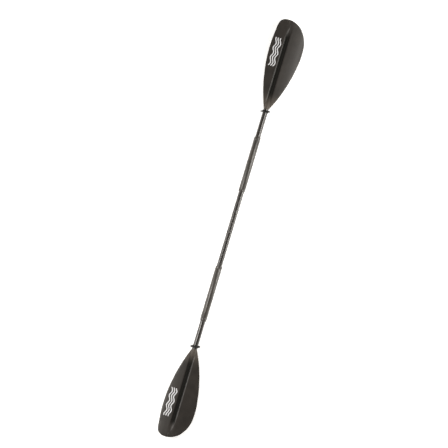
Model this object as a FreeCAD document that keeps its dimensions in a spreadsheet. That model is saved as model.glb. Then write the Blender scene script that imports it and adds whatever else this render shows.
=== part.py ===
import FreeCAD, Part
import math
import os
import Sketcher

# A two-piece kayak paddle lying with its power faces up.
# +X runs along the shaft, +Y points to the long straight edge of both blades, +Z is up, out of the power faces.
# The origin is on the shaft's axis at mid length. Every number is in millimetres or degrees.

doc = FreeCAD.newDocument("kayak_paddle")
sheet = doc.addObject("Spreadsheet::Sheet", "sizes")

drivingSizes = [
    # the whole paddle
    ("overall_length", 2200, "tip to tip"),
    ("blade_length", 466, "from the end of the shaft tube to the tip"),
    ("seam_position", 32, "where the two halves meet, from mid length"),
    # shaft tubes
    ("shaft_diameter", 27, "between the grips"),
    ("shaft_wall", 1.5, "between the grips"),
    ("ply_step", 0.25, "the extra outer ply between the grips"),
    # hand grips
    ("grip_start", 198, "from mid length to a grip's inner end"),
    ("grip_length", 290, ""),
    ("grip_diameter", 33, ""),
    ("grip_chamfer", 1.5, "at a grip's inner end"),
    ("grip_taper", 10, "length of the outer end's taper"),
    ("grip_taper_drop", 2.2, "how far the taper comes down"),
    # the joint in the middle
    ("bond_gap", 0.05, "glue line round what is bonded inside a tube"),
    ("slip_gap", 0.05, "round what turns or slides on its neighbour"),
    ("ferrule_bond", 70, "length of the ferrule glued in the right tube"),
    ("ferrule_reach", 105, "length of the ferrule that stands out of the right tube"),
    ("ferrule_wall", 1.5, ""),
    ("ferrule_chamfer", 1, "lead-in at the ferrule's free end"),
    ("socket_wall", 1, "of the sleeve in the left tube"),
    ("socket_spare", 16, "how much further the sleeve runs than the ferrule"),
    ("seam_ring_width", 1.8, ""),
    ("seam_ring_recess", 0.25, "how far the ring lies below the shaft's surface"),
    ("plug_depth", 10, "of the ferrule's end plug"),
    ("plug_flange", 2, ""),
    ("bulkhead_length", 20, "of the foam stoppers inside the tubes"),
    ("bulkhead_gap", 2, "between a stopper and the end of the sleeve or ferrule"),
    # snap button and its spring
    ("button_inset", 48, "from the seam to the button"),
    ("button_diameter", 7, ""),
    ("button_hole_gap", 0.2, "all round the button"),
    ("button_proud", 2, "how far the button stands out of the shaft"),
    ("button_round", 1.2, "radius of the button's edge"),
    ("button_flange", 9.6, "diameter of the button's flange"),
    ("flange_thickness", 0.9, ""),
    ("rivet_diameter", 3, "the shank that holds the button on its spring"),
    ("rivet_head", 0.6, "thickness of its peened head"),
    ("rivet_head_diameter", 4.8, ""),
    ("feather_angle", 60, "from the middle hole to either side hole"),
    ("strip_width", 9, "of the spring"),
    ("strip_thickness", 0.6, ""),
    ("strip_bend", 1.6, "radius of the strip's bend"),
    ("strip_knee", 3, "radius of the strip's two knees"),
    ("strip_gap", 0.1, "between the spring and the ferrule's wall"),
    ("spring_length", 34, "from the button to the bend"),
    ("knee_inset", 11, "from the button to the knees"),
    ("strip_overhang", 9, "from the button to the strip's ends"),
    # drip rings
    ("ring_position", 622, "from mid length to a drip ring"),
    ("ring_diameter", 51, "over the rim"),
    ("ring_rim", 6, "thickness of the rim"),
    ("ring_web", 3, "thickness of the flange between hub and rim"),
    ("hub_diameter", 33, ""),
    ("hub_length", 12, ""),
    ("flange_cant", 10, "how far the soft flange leans over sideways"),
    ("flange_dip", 8, "how far the soft flange leans over at the front"),
    # blades
    ("long_edge", 74, "from the shaft's axis to the long straight edge"),
    ("curved_edge", 96, "from the shaft's axis to the curved edge"),
    ("spoon_rise", 24, "how far the tip curls up out of the shaft's line"),
    ("dihedral_angle", 3.5, "how far each half falls away from the spine"),
    ("spine_thickness", 5, "of the blade along its middle"),
    ("edge_thickness", 2.6, ""),
    ("neck_length", 62, "of the round neck"),
    ("neck_swell", 1.1, "the neck's width halfway, as a share of its root"),
    ("neck_dip", 0.7, "its height halfway, as a share of its root"),
    ("neck_waist", 0.8, "its width at the end, as a share of its root"),
    ("spigot_length", 60, "of the blade glued in the shaft tube"),
    ("spigot_wall", 3, ""),
    ("channel_width", 23, "of the long channel down the power face, at its widest"),
    ("channel_waist", 21, "its width before its pointed end"),
    ("channel_depth", 1.8, "below the blade's face"),
    ("channel_reach", 428, "from the end of the shaft tube to the channel's point"),
    ("channel_end_length", 54, "of its pointed end"),
    ("channel_end_widest", 29, "from the widest place of that end to its point"),
    ("ridge_width", 4.4, "of the low ridge along the channel's middle"),
    ("ridge_height", 0.8, "above the blade's face"),
]

for row, (name, number, note) in enumerate(drivingSizes, start=1):
    sheet.set(f"A{row}", name)
    sheet.set(f"B{row}", str(number))
    sheet.set(f"C{row}", note)
    sheet.setAlias(f"B{row}", name)
doc.recompute()


def size(formula):
    """The number that a formula in the sheet's names comes to."""
    return float(sheet.evalExpression(formula))


def bind(thing, **formulas):
    """Binds properties to formulas in the sheet's names. A double underscore stands for a dot."""
    for prop, formula in formulas.items():
        thing.setExpression(prop.replace("__", "."), formula)


# sizes that follow from the sheet, as formulas. Fits are made of these, so both sides of a fit move together
shaftRadius = "(sizes.shaft_diameter / 2)"
boreRadius = "(sizes.shaft_diameter / 2 - sizes.shaft_wall)"
slimRadius = "(sizes.shaft_diameter / 2 - sizes.ply_step)"
gluedRadius = "(sizes.shaft_diameter / 2 - sizes.shaft_wall - sizes.bond_gap)"
socketRadius = f"({gluedRadius} - sizes.socket_wall)"
ferruleRadius = f"({socketRadius} - sizes.slip_gap)"
ferruleBore = f"({ferruleRadius} - sizes.ferrule_wall)"
tubeEnd = "(sizes.overall_length / 2 - sizes.blade_length)"
rightTubeStart = "(sizes.seam_position + sizes.seam_ring_width / 2 + sizes.slip_gap)"
leftTubeStart = "(sizes.seam_position - sizes.seam_ring_width / 2 - sizes.slip_gap)"
buttonX = "(sizes.seam_position - sizes.button_inset)"
holeRadius = "(sizes.button_diameter / 2 + sizes.button_hole_gap)"


# helpers

outward = FreeCAD.Rotation(FreeCAD.Vector(0, 0, 1), 0)
inward = FreeCAD.Rotation(FreeCAD.Vector(0, 0, 1), 180)


def originPlane(body, role):
    return [feature for feature in body.Origin.OriginFeatures if feature.Role == role][0]


def newSketch(body, name, role):
    sketch = body.newObject("Sketcher::SketchObject", name)
    sketch.AttachmentSupport = [(originPlane(body, role), "")]
    sketch.MapMode = "FlatFace"
    return sketch


def drawProfile(sketch, corners):
    """A closed outline of straight lines. Each corner is a pair of formulas, and both are bound."""
    points = [FreeCAD.Vector(size(along), size(out), 0) for along, out in corners]
    for start, end in zip(points, points[1:] + points[:1]):
        sketch.addGeometry(Part.LineSegment(start, end), False)
    for number in range(len(points)):
        following = (number + 1) % len(points)
        sketch.addConstraint(Sketcher.Constraint("Coincident", number, 2, following, 1))
    for number, corner in enumerate(corners):
        for direction, formula in zip(("DistanceX", "DistanceY"), corner):
            held = sketch.addConstraint(Sketcher.Constraint(direction, number, 1, size(formula)))
            sketch.setExpression(f"Constraints[{held}]", formula)


def placeAlongShaft(piece, start, rotation):
    """Puts a piece with its own x = 0 at a distance along the shaft. Its x grows to the right, or to the left if turned."""
    piece.Placement = FreeCAD.Placement(FreeCAD.Vector(size(start), 0, 0), rotation)
    piece.setExpression("Placement.Base.x", start)


def turnedBody(label, start, rotation, corners):
    """A round piece about the shaft's axis, from its half section as (along, radius) formulas."""
    body = doc.addObject("PartDesign::Body", label)
    sketch = newSketch(body, label + "_section", "XY_Plane")
    drawProfile(sketch, corners)
    turned = body.newObject("PartDesign::Revolution", label + "_turned")
    turned.Profile = sketch
    turned.ReferenceAxis = (sketch, ["H_Axis"])
    turned.Angle = 360
    placeAlongShaft(body, start, rotation)
    doc.recompute()
    return body


def drillButtonHoles(body, along, count):
    """Radial holes for the button: one straight up, or three at the feather angles."""
    before = body.Shape.Volume
    sketch = newSketch(body, body.Name + "_hole", "XY_Plane")
    circle = sketch.addGeometry(Part.Circle(FreeCAD.Vector(size(along), 0, 0), FreeCAD.Vector(0, 0, 1), 1), False)
    radius = sketch.addConstraint(Sketcher.Constraint("Radius", circle, size(holeRadius)))
    sketch.setExpression(f"Constraints[{radius}]", holeRadius)
    place = sketch.addConstraint(Sketcher.Constraint("DistanceX", circle, 3, size(along)))
    sketch.setExpression(f"Constraints[{place}]", along)
    sketch.addConstraint(Sketcher.Constraint("PointOnObject", circle, 3, -1))
    drilled = body.newObject("PartDesign::Pocket", body.Name + "_drilled")
    drilled.Profile = sketch
    drilled.Type = "ThroughAll"
    drilled.Reversed = True
    if count > 1:
        # the first hole is at one side, and the pattern turns it through the middle to the other side
        sketch.AttachmentOffset = FreeCAD.Placement(
            FreeCAD.Vector(0, 0, 0), FreeCAD.Rotation(FreeCAD.Vector(1, 0, 0), -size("sizes.feather_angle"))
        )
        bind(sketch, AttachmentOffset__Rotation__Angle="-sizes.feather_angle")
        doc.recompute()
        pattern = body.newObject("PartDesign::PolarPattern", body.Name + "_feather_holes")
        pattern.Originals = [drilled]
        pattern.Axis = (sketch, ["H_Axis"])
        pattern.Occurrences = count
        bind(pattern, Angle=f"sizes.feather_angle * {count - 1}")
        body.Tip = pattern
    doc.recompute()
    assert body.Shape.Volume < before, body.Label + ": the holes cut nothing"


# shaft tubes: wound glass fibre, one ply thicker between the grips

def shaftTube(label, start, rotation, plyEnd, length):
    return turnedBody(label, start, rotation, [
        ("0", boreRadius),
        ("0", shaftRadius),
        (plyEnd, shaftRadius),
        (plyEnd, slimRadius),
        (length, slimRadius),
        (length, boreRadius),
    ])


shaftRight = shaftTube(
    "shaft_right",
    rightTubeStart,
    outward,
    f"sizes.grip_start - {rightTubeStart}",
    f"{tubeEnd} - {rightTubeStart}",
)
shaftLeft = shaftTube(
    "shaft_left",
    leftTubeStart,
    inward,
    f"sizes.grip_start + {leftTubeStart}",
    f"{tubeEnd} + {leftTubeStart}",
)
drillButtonHoles(shaftLeft, f"{leftTubeStart} - {buttonX}", 3)


# hand grips: rubber sleeves on the slimmer part of each tube

def handGrip(label, rotation, side):
    taperRadius = "sizes.grip_diameter / 2 - sizes.grip_taper_drop"
    grip = turnedBody(label, f"{side} * sizes.grip_start", rotation, [
        ("0", slimRadius),
        ("0", "sizes.grip_diameter / 2 - sizes.grip_chamfer"),
        ("sizes.grip_chamfer", "sizes.grip_diameter / 2"),
        ("sizes.grip_length - sizes.grip_taper", "sizes.grip_diameter / 2"),
        ("sizes.grip_length", taperRadius),
        ("sizes.grip_length", slimRadius),
    ])
    return grip


gripRight = handGrip("grip_right", outward, "1")
gripLeft = handGrip("grip_left", inward, "-1")


# the ferrule is glued in the right tube and slides into the sleeve in the left tube

ferruleMale = turnedBody("ferrule_male", f"{rightTubeStart} + sizes.ferrule_bond", inward, [
    ("0", ferruleBore),
    ("0", gluedRadius),
    ("sizes.ferrule_bond", gluedRadius),
    ("sizes.ferrule_bond", ferruleRadius),
    ("sizes.ferrule_bond + sizes.ferrule_reach - sizes.ferrule_chamfer", ferruleRadius),
    ("sizes.ferrule_bond + sizes.ferrule_reach", f"{ferruleRadius} - sizes.ferrule_chamfer"),
    ("sizes.ferrule_bond + sizes.ferrule_reach", ferruleBore),
])
drillButtonHoles(ferruleMale, f"{rightTubeStart} + sizes.ferrule_bond - {buttonX}", 1)

ferruleSocket = turnedBody("ferrule_socket", leftTubeStart, inward, [
    ("0", socketRadius),
    ("0", gluedRadius),
    ("sizes.ferrule_reach + sizes.socket_spare", gluedRadius),
    ("sizes.ferrule_reach + sizes.socket_spare", socketRadius),
])
drillButtonHoles(ferruleSocket, f"{leftTubeStart} - {buttonX}", 3)

# a thin ring stays on the ferrule and closes the seam
turnedBody("seam_ring", "sizes.seam_position - sizes.seam_ring_width / 2", outward, [
    ("0", socketRadius),
    ("0", f"{shaftRadius} - sizes.seam_ring_recess"),
    ("sizes.seam_ring_width", f"{shaftRadius} - sizes.seam_ring_recess"),
    ("sizes.seam_ring_width", socketRadius),
])

# the plug keeps water out of the ferrule's open end
ferruleTip = f"({rightTubeStart} - sizes.ferrule_reach)"
plugRadius = f"({ferruleBore} - sizes.bond_gap)"
turnedBody("ferrule_plug", f"{ferruleTip} + sizes.plug_depth", inward, [
    ("0", "0"),
    ("0", plugRadius),
    ("sizes.plug_depth", plugRadius),
    ("sizes.plug_depth", f"{ferruleRadius} - sizes.ferrule_chamfer"),
    ("sizes.plug_depth + sizes.plug_flange", f"{ferruleRadius} - sizes.ferrule_chamfer"),
    ("sizes.plug_depth + sizes.plug_flange", "0"),
])


# foam stoppers seal each tube beyond the joint, so that both halves float

def foamStopper(label, start, rotation):
    turnedBody(label, start, rotation, [
        ("0", "0"),
        ("0", gluedRadius),
        ("sizes.bulkhead_length", gluedRadius),
        ("sizes.bulkhead_length", "0"),
    ])


foamStopper("foam_stopper_right", f"{rightTubeStart} + sizes.ferrule_bond + sizes.bulkhead_gap", outward)
foamStopper(
    "foam_stopper_left",
    f"{leftTubeStart} - sizes.ferrule_reach - sizes.socket_spare - sizes.bulkhead_gap",
    inward,
)


# snap button: a turned steel button, riveted to the upper leg of a bent spring strip

flangeTop = f"(sqrt({ferruleBore} ^ 2 - (sizes.button_flange / 2) ^ 2) - sizes.strip_gap)"
stripTop = f"({flangeTop} - sizes.flange_thickness)"
stripBelow = f"({stripTop} - sizes.strip_thickness)"


def snapButton():
    body = doc.addObject("PartDesign::Body", "snap_button")
    sketch = newSketch(body, "snap_button_section", "XZ_Plane")
    rivetTip = f"{stripBelow} - sizes.rivet_head"
    drawProfile(sketch, [
        ("0", rivetTip),
        ("sizes.rivet_head_diameter / 2", rivetTip),
        ("sizes.rivet_head_diameter / 2", stripBelow),
        ("sizes.rivet_diameter / 2", stripBelow),
        ("sizes.rivet_diameter / 2", stripTop),
        ("sizes.button_flange / 2", stripTop),
        ("sizes.button_flange / 2", flangeTop),
        ("sizes.button_diameter / 2", flangeTop),
        ("sizes.button_diameter / 2", f"{shaftRadius} + sizes.button_proud"),
        ("0", f"{shaftRadius} + sizes.button_proud"),
    ])
    turned = body.newObject("PartDesign::Revolution", "snap_button_turned")
    turned.Profile = sketch
    turned.ReferenceAxis = (sketch, ["V_Axis"])
    turned.Angle = 360
    doc.recompute()
    top = size(f"{shaftRadius} + sizes.button_proud")
    rims = [
        f"Edge{number}"
        for number, edge in enumerate(turned.Shape.Edges, start=1)
        if abs(edge.BoundBox.ZMin - top) < 0.01 and edge.BoundBox.XLength > 1
    ]
    rounded = body.newObject("PartDesign::Fillet", "snap_button_rounded")
    rounded.Base = (turned, rims)
    bind(rounded, Radius="sizes.button_round")
    placeAlongShaft(body, buttonX, outward)
    doc.recompute()


def springPath(centre, bendRadius, knees, ends, kneeRadius):
    """The middle line of the bent strip: upper leg, bend and lower leg, in the XZ plane."""
    edges = []
    tangents = []
    for knee, end, hand in zip(knees, ends, (-1, 1)):
        offset = knee - centre
        turn = math.atan2(offset.z, offset.x) + hand * math.acos(bendRadius / offset.Length)
        tangent = centre + FreeCAD.Vector(math.cos(turn), 0, math.sin(turn)) * bendRadius
        slope = (tangent - knee).normalize()
        level = (end - knee).normalize()
        setback = kneeRadius / math.tan(slope.getAngle(level) / 2)
        before = knee + slope * setback
        after = knee + level * setback
        middle = knee + (slope + level).normalize() * (
            kneeRadius / math.sin(slope.getAngle(level) / 2) - kneeRadius
        )
        edges.append([
            Part.LineSegment(tangent, before).toShape(),
            Part.Arc(before, middle, after).toShape(),
            Part.LineSegment(after, end).toShape(),
        ])
        tangents.append(tangent)
    far = centre + FreeCAD.Vector(bendRadius, 0, 0)
    bend = Part.Arc(tangents[0], far, tangents[1]).toShape()
    return Part.Wire(list(reversed(edges[0])) + [bend] + edges[1])


def buttonSpring():
    """One strip of spring steel, bent into a V. The upper leg carries the button and the lower leg lies on the bore."""
    thickness = size("sizes.strip_thickness")
    width = size("sizes.strip_width")
    upper = size(stripTop) - thickness / 2
    bore = size(ferruleBore)
    lower = thickness / 2 + size("sizes.strip_gap") - math.sqrt(bore**2 - (width / 2) ** 2)
    button = size(buttonX)
    kneeX = button + size("sizes.knee_inset")
    endX = button - size("sizes.strip_overhang")
    centre = FreeCAD.Vector(button + size("sizes.spring_length"), 0, (upper + lower) / 2)
    path = springPath(
        centre,
        size("sizes.strip_bend"),
        [FreeCAD.Vector(kneeX, 0, upper), FreeCAD.Vector(kneeX, 0, lower)],
        [FreeCAD.Vector(endX, 0, upper), FreeCAD.Vector(endX, 0, lower)],
        size("sizes.strip_knee"),
    )
    section = Part.makePolygon([
        FreeCAD.Vector(endX, y * width / 2, upper + z * thickness / 2)
        for y, z in ((-1, -1), (1, -1), (1, 1), (-1, 1), (-1, -1))
    ])
    strip = doc.addObject("Part::Feature", "spring_strip")
    strip.Shape = path.makePipeShell([section], True, True)
    rivetHole = doc.addObject("Part::Cylinder", "rivet_hole")
    bind(
        rivetHole,
        Radius="sizes.rivet_diameter / 2",
        Height="sizes.strip_thickness * 3",
        Placement__Base__x=buttonX,
        Placement__Base__z=f"{stripTop} - sizes.strip_thickness * 2",
    )
    spring = doc.addObject("Part::Cut", "button_spring")
    spring.Base = strip
    spring.Tool = rivetHole
    doc.recompute()


snapButton()
buttonSpring()


# drip rings: a soft rubber hub that grips the shaft, and a flange that leans over a little

def dripRing(label, side):
    hub = doc.addObject("Part::Cylinder", label + "_hub")
    bind(hub, Radius="sizes.hub_diameter / 2", Height="sizes.hub_length")
    hub.Placement = FreeCAD.Placement(
        FreeCAD.Vector(-size("sizes.hub_length") / 2, 0, 0), FreeCAD.Rotation(FreeCAD.Vector(0, 1, 0), 90)
    )
    bind(hub, Placement__Base__x="-sizes.hub_length / 2")

    # the flange's axis is turned sideways by the cant and forward by the dip
    lean = FreeCAD.Rotation(FreeCAD.Vector(0, 0, 1), size("sizes.flange_cant"))
    dip = FreeCAD.Rotation(FreeCAD.Vector(0, 1, 0), 90 - size("sizes.flange_dip"))
    flangeTurn = lean.multiply(dip)
    web = doc.addObject("Part::Cylinder", label + "_web")
    bind(web, Radius="sizes.ring_diameter / 2 - sizes.ring_rim / 2", Height="sizes.ring_web")
    webBase = flangeTurn.multVec(FreeCAD.Vector(0, 0, -size("sizes.ring_web") / 2))
    web.Placement = FreeCAD.Placement(webBase, flangeTurn)
    rim = doc.addObject("Part::Torus", label + "_rim")
    bind(rim, Radius1="sizes.ring_diameter / 2 - sizes.ring_rim / 2", Radius2="sizes.ring_rim / 2")
    rim.Placement = FreeCAD.Placement(FreeCAD.Vector(0, 0, 0), flangeTurn)

    solid = doc.addObject("Part::MultiFuse", label + "_solid")
    solid.Shapes = [hub, web, rim]
    bore = doc.addObject("Part::Cylinder", label + "_bore")
    bind(bore, Radius=f"{slimRadius} + sizes.slip_gap", Height="sizes.ring_diameter * 2")
    bore.Placement = FreeCAD.Placement(
        FreeCAD.Vector(-size("sizes.ring_diameter"), 0, 0), FreeCAD.Rotation(FreeCAD.Vector(0, 1, 0), 90)
    )
    bind(bore, Placement__Base__x="-sizes.ring_diameter")
    ring = doc.addObject("Part::Cut", label)
    ring.Base = solid
    ring.Tool = bore
    placeAlongShaft(ring, f"{side} * sizes.ring_position", outward)
    doc.recompute()


dripRing("drip_ring_right", "1")
dripRing("drip_ring_left", "-1")


# blades: a thin spooned sheet with a channel and a low ridge along its middle, a round neck and a spigot glued in the tube

# the outline from the neck along the long edge, round the tip and back along the curved edge:
# share of the blade's length, and share of the long edge's or the curved edge's distance from the axis
outlineShares = [
    (0.14, 0.48),
    (0.35, 0.81),
    (0.62, 1.00),
    (0.87, 0.92),
    (0.94, 0.85),
    (0.978, 0.70),
    (1.00, 0.26),
    (0.97, -0.35),
    (0.91, -0.67),
    (0.81, -0.92),
    (0.68, -1.00),
    (0.53, -0.94),
    (0.35, -0.77),
    (0.14, -0.445),
]


def bladePoint(share, across):
    """A point of the outline on the XY plane."""
    edge = size("sizes.long_edge") if across > 0 else size("sizes.curved_edge")
    return FreeCAD.Vector(size(tubeEnd) + share * size("sizes.blade_length"), across * edge, 0)


def middleHeight(share):
    """How high the blade's middle line stands, at a share of its length from the tube's end."""
    return size("sizes.spoon_rise") * share**2


def prismOver(wire):
    """What lies above and below a closed outline on the XY plane, tall enough for the whole blade."""
    tall = 200
    return Part.Face(wire).extrude(FreeCAD.Vector(0, 0, 2 * tall)).translated(FreeCAD.Vector(0, 0, -tall))


def spoonedSlab(lowMiddle, lowEdge, highMiddle, highEdge):
    """A slab that follows the spoon and the dihedral, wider and longer than the blade.

    Its lower and upper faces lie at the given heights over the middle surface, at the spine and at the edges."""
    halfWidth = size("sizes.curved_edge") * 1.1
    fall = halfWidth * math.tan(math.radians(size("sizes.dihedral_angle")))
    sections = []
    for share in (0, 0.26, 0.52, 0.78, 1.04):
        x = size(tubeEnd) + share * size("sizes.blade_length")
        z = middleHeight(share)
        corners = [
            (-halfWidth, z - fall + lowEdge),
            (0, z + lowMiddle),
            (halfWidth, z - fall + lowEdge),
            (halfWidth, z - fall + highEdge),
            (0, z + highMiddle),
            (-halfWidth, z - fall + highEdge),
        ]
        points = [FreeCAD.Vector(x, y, height) for y, height in corners]
        sections.append(Part.makePolygon(points + points[:1]))
    return Part.makeLoft(sections, True, False)


def bladeSheet():
    """The thin sheet, cut to the blade's outline."""
    neckRadius = size(slimRadius)
    root = size(tubeEnd)
    upperRoot = FreeCAD.Vector(root, neckRadius, 0)
    lowerRoot = FreeCAD.Vector(root, -neckRadius, 0)
    edge = Part.BSplineCurve()
    edge.interpolate([upperRoot] + [bladePoint(*pair) for pair in outlineShares] + [lowerRoot])
    outline = Part.Wire([edge.toShape(), Part.LineSegment(lowerRoot, upperRoot).toShape()])
    halfSpine = size("sizes.spine_thickness") / 2
    halfEdge = size("sizes.edge_thickness") / 2
    return prismOver(outline).common(spoonedSlab(-halfSpine, -halfEdge, halfSpine, halfEdge))


def channelSpan():
    """Where the channel starts, where its pointed end begins and where its point lies, along the shaft."""
    root = size(tubeEnd)
    point = root + size("sizes.channel_reach")
    return root + size("sizes.neck_length") / 2, point - size("sizes.channel_end_length"), point


def channelCut():
    """What the long channel takes out of the power face. Its end is drawn to a point near the blade's tip."""
    start, shoulder, point = channelSpan()
    half = size("sizes.channel_width") / 2
    waist = size("sizes.channel_waist") / 2
    widest = point - size("sizes.channel_end_widest")
    sides = []
    for hand in (1, -1):
        curve = Part.BSplineCurve()
        curve.interpolate([
            FreeCAD.Vector(shoulder, hand * waist, 0),
            FreeCAD.Vector(widest, hand * half, 0),
            FreeCAD.Vector(point, 0, 0),
        ])
        sides.append([
            Part.LineSegment(
                FreeCAD.Vector(start, hand * waist, 0), FreeCAD.Vector(shoulder, hand * waist, 0)
            ).toShape(),
            curve.toShape(),
        ])
    back = Part.LineSegment(FreeCAD.Vector(start, -waist, 0), FreeCAD.Vector(start, waist, 0)).toShape()
    outline = Part.Wire(sides[0] + [sides[1][1], sides[1][0], back])
    depth = size("sizes.channel_depth")
    middleFloor = size("sizes.spine_thickness") / 2 - depth
    edgeFloor = size("sizes.edge_thickness") / 2 - depth
    above = size("sizes.spine_thickness")
    return prismOver(outline).common(spoonedSlab(middleFloor, edgeFloor, above, above))


def ridgeSolid():
    """The low ridge that stands in the channel and ends in a point of its own."""
    start, shoulder, point = channelSpan()
    half = size("sizes.ridge_width") / 2
    strip = Part.makePolygon([
        FreeCAD.Vector(start, -half, 0),
        FreeCAD.Vector(shoulder, -half, 0),
        FreeCAD.Vector(point - size("sizes.channel_end_widest"), 0, 0),
        FreeCAD.Vector(shoulder, half, 0),
        FreeCAD.Vector(start, half, 0),
        FreeCAD.Vector(start, -half, 0),
    ])
    top = size("sizes.spine_thickness") / 2 + size("sizes.ridge_height")
    return prismOver(strip).common(spoonedSlab(0, 0, top, top))


def neckSection(name, share, across, up):
    """One oval of the neck's loft, at a share of the neck's length."""
    oval = doc.addObject("Part::Ellipse", name)
    oval.Placement = FreeCAD.Placement(FreeCAD.Vector(0, 0, 0), FreeCAD.Rotation(FreeCAD.Vector(0, 1, 0), 90))
    # the long radius of an oval comes first, and here it lies across the blade
    oval.Placement.Rotation = oval.Placement.Rotation.multiply(
        FreeCAD.Rotation(FreeCAD.Vector(0, 0, 1), 90)
    )
    bladeShare = f"({share} * sizes.neck_length / sizes.blade_length)"
    bind(
        oval,
        MajorRadius=across,
        MinorRadius=up,
        Placement__Base__x=f"{tubeEnd} + {share} * sizes.neck_length",
        Placement__Base__z=f"sizes.spoon_rise * {bladeShare} ^ 2",
    )
    return oval


def bladeRight():
    sheetPiece = doc.addObject("Part::Feature", "blade_sheet")
    sheetPiece.Shape = bladeSheet().cut(channelCut())
    ridge = doc.addObject("Part::Feature", "blade_ridge")
    ridge.Shape = ridgeSolid()
    neck = doc.addObject("Part::Loft", "blade_neck")
    neck.Sections = [
        neckSection("neck_root", "0", slimRadius, slimRadius),
        neckSection("neck_middle", "0.5", f"{slimRadius} * sizes.neck_swell", f"{slimRadius} * sizes.neck_dip"),
        neckSection("neck_end", "1", f"{slimRadius} * sizes.neck_waist", "sizes.spine_thickness / 2 + sizes.ridge_height"),
    ]
    neck.Solid = True
    spigot = doc.addObject("Part::Cylinder", "blade_spigot")
    spigotBore = doc.addObject("Part::Cylinder", "blade_spigot_bore")
    for piece, radius in ((spigot, gluedRadius), (spigotBore, f"{gluedRadius} - sizes.spigot_wall")):
        piece.Placement = FreeCAD.Placement(FreeCAD.Vector(0, 0, 0), FreeCAD.Rotation(FreeCAD.Vector(0, 1, 0), 90))
        bind(piece, Radius=radius, Height="sizes.spigot_length", Placement__Base__x=f"{tubeEnd} - sizes.spigot_length")
    hollowSpigot = doc.addObject("Part::Cut", "blade_hollow_spigot")
    hollowSpigot.Base = spigot
    hollowSpigot.Tool = spigotBore
    blade = doc.addObject("Part::MultiFuse", "blade_right")
    blade.Shapes = [sheetPiece, ridge, neck, hollowSpigot]
    doc.recompute()
    return blade


bladeOnRight = bladeRight()
bladeLeft = doc.addObject("Part::Mirroring", "blade_left")
bladeLeft.Source = bladeOnRight
bladeLeft.Base = FreeCAD.Vector(0, 0, 0)
bladeLeft.Normal = FreeCAD.Vector(1, 0, 0)
doc.recompute()


# every sub-part is checked, then written to a file of its own name

nodeNames = [
    "blade_right",
    "blade_left",
    "shaft_right",
    "shaft_left",
    "grip_right",
    "grip_left",
    "drip_ring_right",
    "drip_ring_left",
    "ferrule_male",
    "ferrule_socket",
    "ferrule_plug",
    "seam_ring",
    "snap_button",
    "button_spring",
    "foam_stopper_right",
    "foam_stopper_left",
]

for thing in doc.Objects:
    for state in ("Invalid", "Error"):
        assert state not in thing.State, f"{thing.Name} is {state}"

nodes = []
for name in nodeNames:
    node = doc.getObject(name)
    node.Label = name
    assert not node.Shape.isNull() and node.Shape.isValid(), name + " has no valid shape"
    nodes.append(node)

os.makedirs("parts", exist_ok=True)
for node in nodes:
    node.Shape.exportStep(f"parts/{node.Label}.step")
    box = node.Shape.BoundBox
    print(f"{node.Label}: {len(node.Shape.Solids)} solid, {node.Shape.Volume / 1000:.2f} cm3, "
          f"x {box.XMin:.1f} to {box.XMax:.1f}, y {box.YMin:.1f} to {box.YMax:.1f}, z {box.ZMin:.1f} to {box.ZMax:.1f}")
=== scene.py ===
import math

import bmesh
import bpy
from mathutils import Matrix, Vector


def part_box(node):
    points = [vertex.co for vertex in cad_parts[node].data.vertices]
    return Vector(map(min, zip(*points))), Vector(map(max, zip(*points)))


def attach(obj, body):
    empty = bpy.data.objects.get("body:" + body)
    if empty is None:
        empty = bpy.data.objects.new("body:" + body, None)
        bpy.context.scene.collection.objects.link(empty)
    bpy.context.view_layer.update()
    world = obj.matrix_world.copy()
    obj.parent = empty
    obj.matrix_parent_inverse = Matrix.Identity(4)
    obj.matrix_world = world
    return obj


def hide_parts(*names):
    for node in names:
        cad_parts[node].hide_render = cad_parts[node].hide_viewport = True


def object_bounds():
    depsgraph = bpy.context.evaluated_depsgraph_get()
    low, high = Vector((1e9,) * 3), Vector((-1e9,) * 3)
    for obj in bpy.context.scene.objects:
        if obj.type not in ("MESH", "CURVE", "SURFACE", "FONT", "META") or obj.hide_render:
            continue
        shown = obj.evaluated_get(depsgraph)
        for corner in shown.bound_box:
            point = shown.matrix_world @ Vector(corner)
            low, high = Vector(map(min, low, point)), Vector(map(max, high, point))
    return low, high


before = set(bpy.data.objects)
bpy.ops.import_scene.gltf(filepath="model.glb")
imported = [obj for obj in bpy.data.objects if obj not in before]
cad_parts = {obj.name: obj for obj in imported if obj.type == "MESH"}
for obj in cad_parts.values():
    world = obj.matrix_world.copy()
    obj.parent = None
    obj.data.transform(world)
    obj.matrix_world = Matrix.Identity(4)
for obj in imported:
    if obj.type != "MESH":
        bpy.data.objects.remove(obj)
cadBox = [list(corner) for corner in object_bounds()]
mm = 0.001

# where things are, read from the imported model
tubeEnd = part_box("shaft_right")[1].x
bladeLow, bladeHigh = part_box("blade_right")
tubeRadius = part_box("shaft_right")[1].z
slimRadius = tubeRadius - 0.25 * mm  # the tube is one ply thinner under the grips and rings
print("frame loaded, tube ends at", round(tubeEnd, 4))


# small helpers

def cleanSlate():
    if bpy.context.object and bpy.context.object.mode != "OBJECT":
        bpy.ops.object.mode_set(mode="OBJECT")
    bpy.ops.object.select_all(action="DESELECT")


def makeActive(piece):
    cleanSlate()
    piece.select_set(True)
    bpy.context.view_layer.objects.active = piece


def startEdit(piece, name):
    piece.name = name
    piece.data.name = name
    bpy.ops.object.mode_set(mode="EDIT")
    bpy.ops.mesh.select_mode(type="VERT")


def pickFaces(test):
    bpy.ops.mesh.select_mode(type="FACE")
    bpy.ops.mesh.select_all(action="DESELECT")
    mesh = bpy.context.edit_object.data
    shape = bmesh.from_edit_mesh(mesh)
    for face in shape.faces:
        face.select_set(test(face.calc_center_median(), face.normal))
    bmesh.update_edit_mesh(mesh)


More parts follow.
